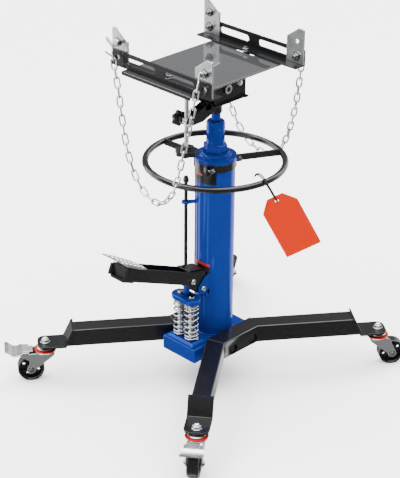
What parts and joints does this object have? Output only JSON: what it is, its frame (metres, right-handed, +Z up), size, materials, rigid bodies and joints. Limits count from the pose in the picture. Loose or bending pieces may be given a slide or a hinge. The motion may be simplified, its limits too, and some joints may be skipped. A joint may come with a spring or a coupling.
{
  "type": "car jack",
  "caption": "Foot-pumped hydraulic transmission jack on splayed caster legs, with a ring handle, a telescoping ram and a tilting load tray with brackets and safety chains.",
  "frame": {"origin": "on the floor, on the axis of the hydraulic column", "axes": "+Z up along the column; +X and +Y are the horizontal directions across and along the pair of leg frames, with the foot pedal on the -Y side"},
  "size_m": [0.7842, 0.908, 1.0146],
  "materials": {
    "blue_gloss_paint": "gloss",
    "black_gloss_paint": "gloss",
    "tray_black_paint": "gloss",
    "zinc_plate": "satin",
    "polished_steel": "polished",
    "wheel_nylon": "satin",
    "knob_plastic": "satin",
    "orange_card": "matte"
  },
  "bodies": {
    "base": {"base_block": "blue_gloss_paint", "tank_tube": "blue_gloss_paint", "inner_cylinder": "polished_steel", "top_cap": "blue_gloss_paint", "leg_tube_1": "black_gloss_paint", "leg_tube_2": "black_gloss_paint", "leg_1": "black_gloss_paint", "leg_2": "black_gloss_paint", "leg_3": "black_gloss_paint", "leg_4": "black_gloss_paint", "leg_bolt_1": "black_gloss_paint", "leg_bolt_2": "black_gloss_paint", "caster_stem_1": "zinc_plate", "caster_stem_2": "zinc_plate", "caster_stem_3": "zinc_plate", "caster_stem_4": "zinc_plate", "clamp_band": "black_gloss_paint", "ring_handle": "black_gloss_paint", "pedal_lugs": "blue_gloss_paint", "fulcrum_pin": "polished_steel", "rod_guide": "blue_gloss_paint", "hang_tag": "orange_card", "return_spring_1": "polished_steel", "return_spring_2": "polished_steel"},
    "stage_1": {"ram_stage_1": "blue_gloss_paint"},
    "stage_2": {"ram_stage_2": "blue_gloss_paint"},
    "saddle": {"saddle_base": "black_gloss_paint", "pivot_pin_1": "polished_steel", "screw_trunnion": "polished_steel"},
    "head": {"saddle_head": "black_gloss_paint", "pivot_pin_2": "polished_steel"},
    "tray": {"tray_plate": "tray_black_paint", "rail_1": "black_gloss_paint", "rail_2": "black_gloss_paint", "corner_bracket_1": "zinc_plate", "corner_bracket_2": "zinc_plate", "corner_bracket_3": "zinc_plate", "corner_bracket_4": "zinc_plate", "chain_1": "zinc_plate", "chain_2": "zinc_plate"},
    "screw": {"adjust_screw": "polished_steel"},
    "knob": {"adjust_knob": "knob_plastic"},
    "lock": {"lock_knob": "knob_plastic"},
    "pedal": {"pedal_lever": "black_gloss_paint", "drive_pin": "polished_steel"},
    "link": {"drive_link": "blue_gloss_paint"},
    "pump": {"crosshead": "blue_gloss_paint", "plunger_1": "polished_steel", "plunger_2": "polished_steel"},
    "release": {"release_rod": "black_gloss_paint"},
    "fork_1": {"caster_fork_1": "zinc_plate"},
    "wheel_1": {"wheel_1": "wheel_nylon"},
    "brake_1": {"brake_lever_1": "zinc_plate"},
    "fork_2": {"caster_fork_2": "zinc_plate"},
    "wheel_2": {"wheel_2": "wheel_nylon"},
    "brake_2": {"brake_lever_2": "zinc_plate"},
    "fork_3": {"caster_fork_3": "zinc_plate"},
    "wheel_3": {"wheel_3": "wheel_nylon"},
    "fork_4": {"caster_fork_4": "zinc_plate"},
    "wheel_4": {"wheel_4": "wheel_nylon"}
  },
  "joints": [
    {"name": "stage_1_lift", "type": "slide", "parent": "base", "child": "stage_1", "axis": [0, 0, 1], "range_m": [0, 0.44]},
    {"name": "stage_2_lift", "type": "slide", "parent": "stage_1", "child": "stage_2", "axis": [0, 0, 1], "range_m": [0, 0.44]},
    {"name": "saddle_swivel", "type": "hinge", "parent": "stage_2", "child": "saddle", "pos_m": [0, 0, 0.812], "axis": [0, 0, 1], "range_deg": [-50, 50]},
    {"name": "tilt_1", "type": "hinge", "parent": "saddle", "child": "head", "pos_m": [0, 0, 0.868], "axis": [1, 0, 0], "range_deg": [-5, 5]},
    {"name": "tilt_2", "type": "hinge", "parent": "head", "child": "tray", "pos_m": [0, 0, 0.898], "axis": [0, 1, 0], "range_deg": [-7, 7]},
    {"name": "screw_travel", "type": "slide", "parent": "saddle", "child": "screw", "axis": [0, 0, 1], "range_m": [-0.0095, 0.0095]},
    {"name": "knob_turn", "type": "hinge", "parent": "screw", "child": "knob", "pos_m": [0, -0.108, 0.704], "axis": [0, 0, 1], "continuous": true},
    {"name": "lock_turn", "type": "hinge", "parent": "saddle", "child": "lock", "pos_m": [-0.03, -0.108, 0.797], "axis": [1, 0, 0], "range_deg": [0, 180]},
    {"name": "pedal_stroke", "type": "hinge", "parent": "base", "child": "pedal", "pos_m": [0, -0.07, 0.301], "axis": [1, 0, 0], "range_deg": [0, 25]},
    {"name": "link_swing", "type": "hinge", "parent": "pedal", "child": "link", "pos_m": [0, -0.104, 0.332], "axis": [1, 0, 0], "range_deg": [-14, 0]},
    {"name": "pump_stroke", "type": "slide", "parent": "base", "child": "pump", "axis": [0, 0, 1], "range_m": [-0.0165, 0], "stiffness_N_per_m": 4000, "springref_m": 0.045, "deforming": ["return_spring_1", "return_spring_2"]},
    {"name": "release_turn", "type": "hinge", "parent": "base", "child": "release", "pos_m": [-0.046, -0.064, 0.6], "axis": [0, 0, 1], "range_deg": [0, 180]},
    {"name": "caster_swivel_1", "type": "hinge", "parent": "base", "child": "fork_1", "pos_m": [-0.3, -0.364, 0.09], "axis": [0, 0, 1], "continuous": true},
    {"name": "wheel_spin_1", "type": "hinge", "parent": "fork_1", "child": "wheel_1", "pos_m": [-0.32499, -0.39775, 0.0375], "axis": [0.8037, -0.5951, 0], "continuous": true},
    {"name": "brake_press_1", "type": "hinge", "parent": "fork_1", "child": "brake_1", "pos_m": [-0.33809, -0.41543, 0.084], "axis": [0.8037, -0.5951, 0], "range_deg": [0, 8]},
    {"name": "caster_swivel_2", "type": "hinge", "parent": "base", "child": "fork_2", "pos_m": [0.3, -0.364, 0.09], "axis": [0, 0, 1], "continuous": true},
    {"name": "wheel_spin_2", "type": "hinge", "parent": "fork_2", "child": "wheel_2", "pos_m": [0.32499, -0.39775, 0.0375], "axis": [0.8037, 0.5951, 0], "continuous": true},
    {"name": "brake_press_2", "type": "hinge", "parent": "fork_2", "child": "brake_2", "pos_m": [0.33809, -0.41543, 0.084], "axis": [0.8037, 0.5951, 0], "range_deg": [0, 8]},
    {"name": "caster_swivel_3", "type": "hinge", "parent": "base", "child": "fork_3", "pos_m": [0.3, 0.364, 0.09], "axis": [0, 0, 1], "continuous": true},
    {"name": "wheel_spin_3", "type": "hinge", "parent": "fork_3", "child": "wheel_3", "pos_m": [0.32499, 0.39775, 0.0375], "axis": [-0.8037, 0.5951, 0], "continuous": true},
    {"name": "caster_swivel_4", "type": "hinge", "parent": "base", "child": "fork_4", "pos_m": [-0.3, 0.364, 0.09], "axis": [0, 0, 1], "continuous": true},
    {"name": "wheel_spin_4", "type": "hinge", "parent": "fork_4", "child": "wheel_4", "pos_m": [-0.32499, 0.39775, 0.0375], "axis": [-0.8037, -0.5951, 0], "continuous": true}
  ],
  "couplings": [
    {"joint": "screw_travel", "follows": "tilt_1", "m_per_rad": -0.108},
    {"joint": "link_swing", "follows": "pedal_stroke", "ratio": -0.51},
    {"joint": "pump_stroke", "follows": "pedal_stroke", "m_per_rad": -0.0371}
  ]
}
